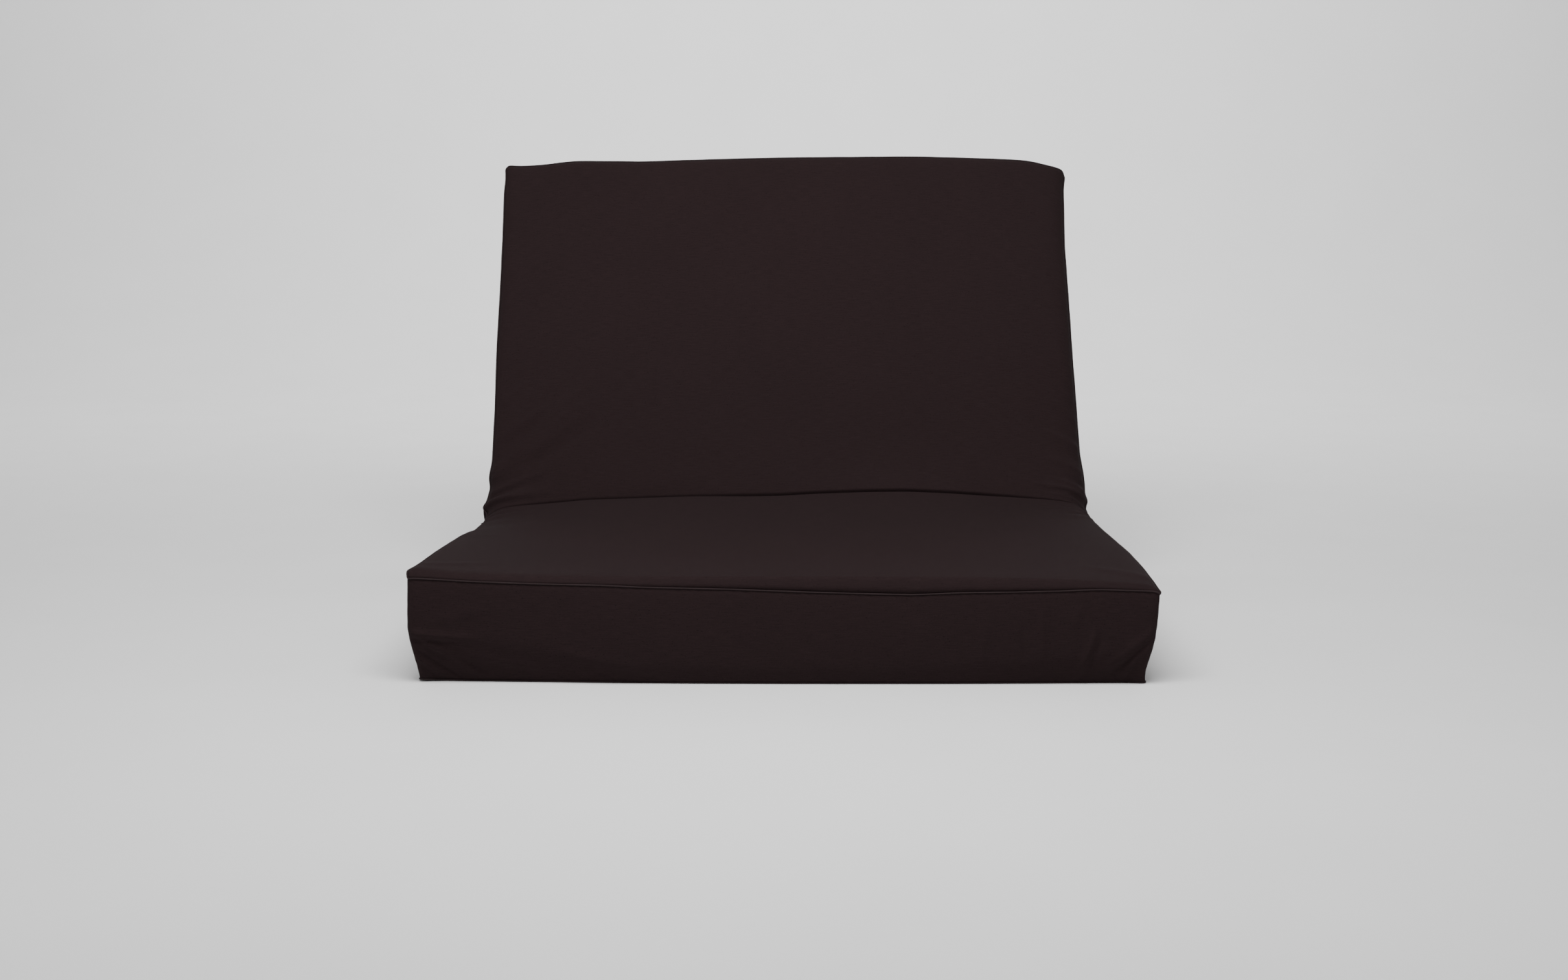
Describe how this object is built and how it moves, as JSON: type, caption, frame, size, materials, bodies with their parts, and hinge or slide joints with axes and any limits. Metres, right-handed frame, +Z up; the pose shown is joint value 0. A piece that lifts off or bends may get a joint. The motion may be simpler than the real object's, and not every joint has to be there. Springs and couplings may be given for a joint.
{
  "type": "futon mattress",
  "caption": "Full-size futon mattress in a plain dark zip-off cover, bent into a flat seat and a reclined back, with a fold that opens to a bed.",
  "frame": {"origin": "on the plane of the seat section's underside, under the middle of the whole mattress's bounding box", "axes": "+Z up; +Y from the front edge of the seat towards the back section; +X across the width, the right-hand side of someone facing the futon"},
  "size_m": [1.372, 1.4034, 0.9636],
  "materials": {
    "cover": "matte",
    "ticking": "matte",
    "cotton": "matte",
    "foam": "matte",
    "twine": "matte",
    "felt": "matte",
    "zip_tape": "matte",
    "zip_coil": "satin",
    "zip_metal": "satin",
    "label": "matte"
  },
  "bodies": {
    "seat": {"cover_seat_top": "cover", "cover_seat_underside": "cover", "cover_seat_side_left": "cover", "cover_seat_side_right": "cover", "cover_front_boxing": "cover", "seat_ticking": "ticking", "seat_cotton_lower": "cotton", "seat_foam_lower": "foam", "seat_cotton_middle": "cotton", "seat_foam_upper": "foam", "seat_cotton_upper": "cotton", "seat_tuft_twine": "twine", "seat_tufts_upper": "felt", "seat_tufts_lower": "felt", "cover_fold_crease": "cover", "cover_fold_underside": "cover", "cover_fold_side_left": "cover", "cover_fold_side_right": "cover", "fold_ticking": "ticking", "fold_padding": "cotton"},
    "back": {"cover_back_front": "cover", "cover_back_rear": "cover", "cover_back_side_left": "cover", "cover_back_side_right": "cover", "cover_head_boxing_rear": "cover", "cover_head_boxing_front": "cover", "zipper_tape_front": "zip_tape", "zipper_tape_rear": "zip_tape", "zipper_coil_front": "zip_coil", "zipper_coil_rear": "zip_coil", "zipper_stops": "zip_metal", "back_ticking": "ticking", "back_cotton_rear": "cotton", "back_foam_rear": "foam", "back_cotton_middle": "cotton", "back_foam_front": "foam", "back_cotton_front": "cotton", "back_tuft_twine": "twine", "back_tufts_front": "felt", "back_tufts_rear": "felt", "law_label": "label"},
    "slider": {"zipper_slider": "zip_metal"},
    "pull": {"zipper_pull": "zip_metal"}
  },
  "joints": [
    {"name": "fold", "type": "hinge", "parent": "seat", "child": "back", "pos_m": [0, 0.20025, 0], "axis": [-1, 0, 0], "range_deg": [-15, 60], "deforming": ["cover_fold_crease", "cover_fold_underside", "cover_fold_side_left", "cover_fold_side_right", "fold_ticking", "fold_padding"]},
    {"name": "zipper_slide", "type": "slide", "parent": "back", "child": "slider", "axis": [-1, 0, 0], "range_m": [0, 1.222], "deforming": ["zipper_coil_front", "zipper_coil_rear", "zipper_tape_front", "zipper_tape_rear"]},
    {"name": "pull_hinge", "type": "hinge", "parent": "slider", "child": "pull", "pos_m": [0.6115, 0.62068, 0.9182], "axis": [0, 0.866, -0.5], "range_deg": [0, 180]}
  ]
}
